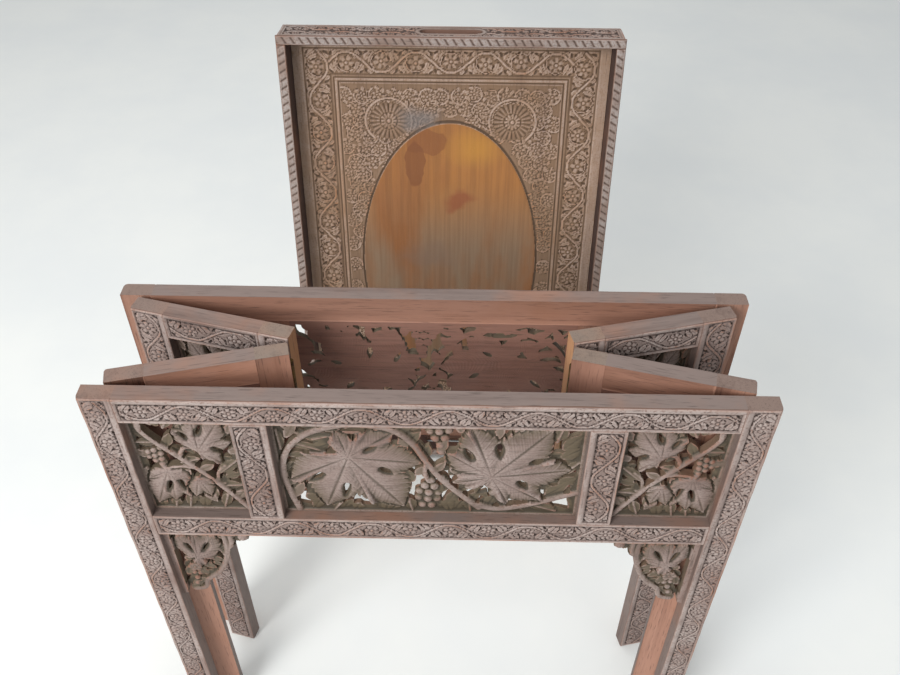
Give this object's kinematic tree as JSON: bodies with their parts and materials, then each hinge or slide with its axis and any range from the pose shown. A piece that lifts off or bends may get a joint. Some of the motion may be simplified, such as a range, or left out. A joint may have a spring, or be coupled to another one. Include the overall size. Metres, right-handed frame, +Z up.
{
  "type": "folding quran stand with tray",
  "caption": "Carved wooden folding stand of wide legged panels and hinged side leaves with pierced vine carving, and a shallow carved lift-off tray with hand slots leaning behind it.",
  "frame": {"origin": "middle of the floor rectangle under the whole object", "axes": "+X along the panels to the right, +Y from the front panel to the tray, +Z up"},
  "size_m": [0.6, 0.5888, 0.6747],
  "materials": {
    "carved_wood": "dry, dusty, worn hand carving",
    "openwork_wood": "dry, dusty openwork carving",
    "tray_floor_wood": "worn, faintly polished",
    "aged_brass": "dull, tarnished"
  },
  "bodies": {
    "rear_panel": {"rear_left_stile": "carved_wood", "rear_right_stile": "carved_wood", "rear_top_rail": "carved_wood", "rear_lower_rail": "carved_wood", "rear_left_muntin": "carved_wood", "rear_right_muntin": "carved_wood", "rear_left_carving": "openwork_wood", "rear_centre_carving": "openwork_wood", "rear_right_carving": "openwork_wood", "rear_left_bracket": "openwork_wood", "rear_right_bracket": "openwork_wood", "rear_left_hinge_panel_plate": "aged_brass", "rear_right_hinge_panel_plate": "aged_brass"},
    "rear_left_leaf": {"rear_left_leaf_leg": "carved_wood", "rear_left_leaf_fold_stile": "carved_wood", "rear_left_leaf_top_rail": "carved_wood", "rear_left_leaf_lower_rail": "carved_wood", "rear_left_leaf_carving": "openwork_wood", "rear_left_hinge_leaf_plate": "aged_brass", "left_fold_hinge_rear_plate": "aged_brass"},
    "front_left_leaf": {"front_left_leaf_leg": "carved_wood", "front_left_leaf_fold_stile": "carved_wood", "front_left_leaf_top_rail": "carved_wood", "front_left_leaf_lower_rail": "carved_wood", "front_left_leaf_carving": "openwork_wood", "front_left_hinge_leaf_plate": "aged_brass", "left_fold_hinge_front_plate": "aged_brass"},
    "front_panel": {"front_left_stile": "carved_wood", "front_right_stile": "carved_wood", "front_top_rail": "carved_wood", "front_lower_rail": "carved_wood", "front_left_muntin": "carved_wood", "front_right_muntin": "carved_wood", "front_left_carving": "openwork_wood", "front_centre_carving": "openwork_wood", "front_right_carving": "openwork_wood", "front_left_bracket": "openwork_wood", "front_right_bracket": "openwork_wood", "front_left_hinge_panel_plate": "aged_brass", "front_right_hinge_panel_plate": "aged_brass"},
    "rear_right_leaf": {"rear_right_leaf_leg": "carved_wood", "rear_right_leaf_fold_stile": "carved_wood", "rear_right_leaf_top_rail": "carved_wood", "rear_right_leaf_lower_rail": "carved_wood", "rear_right_leaf_carving": "openwork_wood", "rear_right_hinge_leaf_plate": "aged_brass", "right_fold_hinge_rear_plate": "aged_brass"},
    "front_right_leaf": {"front_right_leaf_leg": "carved_wood", "front_right_leaf_fold_stile": "carved_wood", "front_right_leaf_top_rail": "carved_wood", "front_right_leaf_lower_rail": "carved_wood", "front_right_leaf_carving": "openwork_wood", "front_right_hinge_leaf_plate": "aged_brass", "right_fold_hinge_front_plate": "aged_brass"},
    "tray": {"tray_board": "tray_floor_wood", "tray_left_side": "carved_wood", "tray_right_side": "carved_wood", "tray_lower_end": "carved_wood", "tray_upper_end": "carved_wood"}
  },
  "joints": [
    {"name": "rear_left_hinge", "type": "hinge", "parent": "rear_panel", "child": "rear_left_leaf", "pos_m": [-0.281, -0.1589, 0], "axis": [0, 0, -1], "range_deg": [-14, 76]},
    {"name": "left_fold_hinge", "type": "hinge", "parent": "rear_left_leaf", "child": "front_left_leaf", "pos_m": [-0.13011, -0.21713, 0], "axis": [0, 0, 1], "range_deg": [-28, 152]},
    {"name": "front_left_hinge", "type": "hinge", "parent": "front_left_leaf", "child": "front_panel", "pos_m": [-0.281, -0.27537, 0], "axis": [0, 0, -1], "range_deg": [-14, 76]},
    {"name": "rear_right_hinge", "type": "hinge", "parent": "rear_panel", "child": "rear_right_leaf", "pos_m": [0.281, -0.1589, 0], "axis": [0, 0, 1], "range_deg": [-14, 76]},
    {"name": "right_fold_hinge", "type": "hinge", "parent": "rear_right_leaf", "child": "front_right_leaf", "pos_m": [0.13011, -0.21713, 0], "axis": [0, 0, -1], "range_deg": [-28, 152]},
    {"name": "tray_lift", "type": "slide", "parent": "rear_panel", "child": "tray", "axis": [0, 0, 1], "range_m": [0, 0.7]}
  ],
  "couplings": [
    {"joint": "left_fold_hinge", "follows": "rear_left_hinge", "ratio": 2},
    {"joint": "front_left_hinge", "follows": "rear_left_hinge", "ratio": 1},
    {"joint": "rear_right_hinge", "follows": "rear_left_hinge", "ratio": 1},
    {"joint": "right_fold_hinge", "follows": "rear_left_hinge", "ratio": 2}
  ]
}
